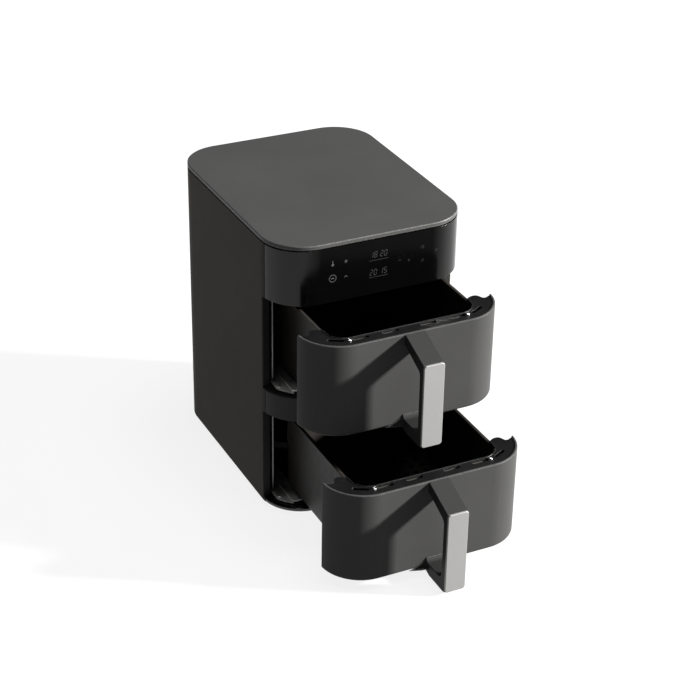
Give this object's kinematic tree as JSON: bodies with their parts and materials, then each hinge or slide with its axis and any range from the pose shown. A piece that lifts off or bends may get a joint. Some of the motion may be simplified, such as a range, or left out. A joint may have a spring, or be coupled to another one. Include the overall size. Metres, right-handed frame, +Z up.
{
  "type": "two-drawer air fryer",
  "caption": "Tall countertop air fryer with stacked pull-out baskets, a divider between them, loop handles with metal grips, and a gloss touch panel under a flat lid.",
  "frame": {"origin": "middle of the model's footprint box, drawers as drawn, at the level the feet stand on", "axes": "+X to the right seen from the front, +Y to the back, +Z up; the drawers open towards -Y"},
  "size_m": [0.3, 0.644, 0.438],
  "materials": {
    "wrap_paint": "satin warm dark grey powder coat",
    "lid_paint": "satin grey with a fine metallic grain",
    "front_paint": "satin grey metallic paint",
    "panel_gloss": "polished black",
    "tray_gloss": "polished black",
    "black_plastic": "fine moulded texture",
    "rim_plastic": "fine moulded texture",
    "handle_plastic": "satin grey metallic paint",
    "display_glass": "smoked",
    "circuit_board": "green solder mask",
    "rubber": "matte",
    "black_rubber": "matte",
    "silicone": "soft matte",
    "bare_steel": "brushed",
    "cavity_steel": "black enamel",
    "heater_steel": "heat tinted",
    "motor_steel": "zinc plated",
    "fan_aluminium": "pressed",
    "trim_aluminium": "fine bead-blasted, anodised",
    "white_plastic": "plain",
    "non_stick": "dark non-stick coating",
    "zinc_screw": "zinc plated",
    "bright_screw": "bright",
    "insulation": "mineral wool mat",
    "magnet": "sintered"
  },
  "bodies": {
    "housing": {"base_tray": "tray_gloss", "rubber_feet": "rubber", "side_wrap": "wrap_paint", "rear_cover": "black_plastic", "rear_cover_screws": "zinc_screw", "cord_gland": "black_rubber", "top_lid": "lid_paint", "lid_frame": "black_plastic", "lid_screws": "zinc_screw", "front_frame": "black_plastic", "divider_cover": "front_paint", "control_panel": "panel_gloss", "display_module": "display_glass", "touch_board": "circuit_board", "power_board": "circuit_board", "reed_sensors": "black_plastic", "rails": "bare_steel", "rail_screws": "bright_screw", "insulation_mats": "insulation", "temperature_sensors": "bare_steel", "lower_liner": "cavity_steel", "lower_fan_guard": "cavity_steel", "lower_heater": "heater_steel", "lower_fan_shroud": "cavity_steel", "lower_motor": "motor_steel", "upper_liner": "cavity_steel", "upper_fan_guard": "cavity_steel", "upper_heater": "heater_steel", "upper_fan_shroud": "cavity_steel", "upper_motor": "motor_steel"},
    "lower_drawer": {"lower_basket": "non_stick", "lower_skids": "black_plastic", "lower_fascia": "front_paint", "lower_rim_cover": "rim_plastic", "lower_rim_screws": "bright_screw", "lower_front_bracket": "bare_steel", "lower_handle": "handle_plastic", "lower_grip_trim": "trim_aluminium", "lower_handle_screws": "zinc_screw", "lower_magnet": "magnet"},
    "lower_crisper": {"lower_crisper_plate": "non_stick", "lower_plate_bumpers": "silicone"},
    "lower_fan": {"lower_fan_shaft": "bare_steel", "lower_impeller": "fan_aluminium", "lower_cooling_fan": "white_plastic"},
    "upper_drawer": {"upper_basket": "non_stick", "upper_skids": "black_plastic", "upper_fascia": "front_paint", "upper_rim_cover": "rim_plastic", "upper_rim_screws": "bright_screw", "upper_front_bracket": "bare_steel", "upper_handle": "handle_plastic", "upper_grip_trim": "trim_aluminium", "upper_handle_screws": "zinc_screw", "upper_magnet": "magnet"},
    "upper_crisper": {"upper_crisper_plate": "non_stick", "upper_plate_bumpers": "silicone"},
    "upper_fan": {"upper_fan_shaft": "bare_steel", "upper_impeller": "fan_aluminium", "upper_cooling_fan": "white_plastic"}
  },
  "joints": [
    {"name": "lower_drawer_slide", "type": "slide", "parent": "housing", "child": "lower_drawer", "axis": [0, -1, 0], "range_m": [-0.199, 0.091]},
    {"name": "lower_crisper_lift", "type": "slide", "parent": "lower_drawer", "child": "lower_crisper", "axis": [0, 0, 1], "range_m": [0, 0.1]},
    {"name": "lower_fan_spin", "type": "hinge", "parent": "housing", "child": "lower_fan", "pos_m": [0, 0.271, 0.088], "axis": [0, 1, 0], "continuous": true},
    {"name": "upper_drawer_slide", "type": "slide", "parent": "housing", "child": "upper_drawer", "axis": [0, -1, 0], "range_m": [-0.116, 0.174]},
    {"name": "upper_crisper_lift", "type": "slide", "parent": "upper_drawer", "child": "upper_crisper", "axis": [0, 0, 1], "range_m": [0, 0.1]},
    {"name": "upper_fan_spin", "type": "hinge", "parent": "housing", "child": "upper_fan", "pos_m": [0, 0.271, 0.275], "axis": [0, 1, 0], "continuous": true}
  ]
}
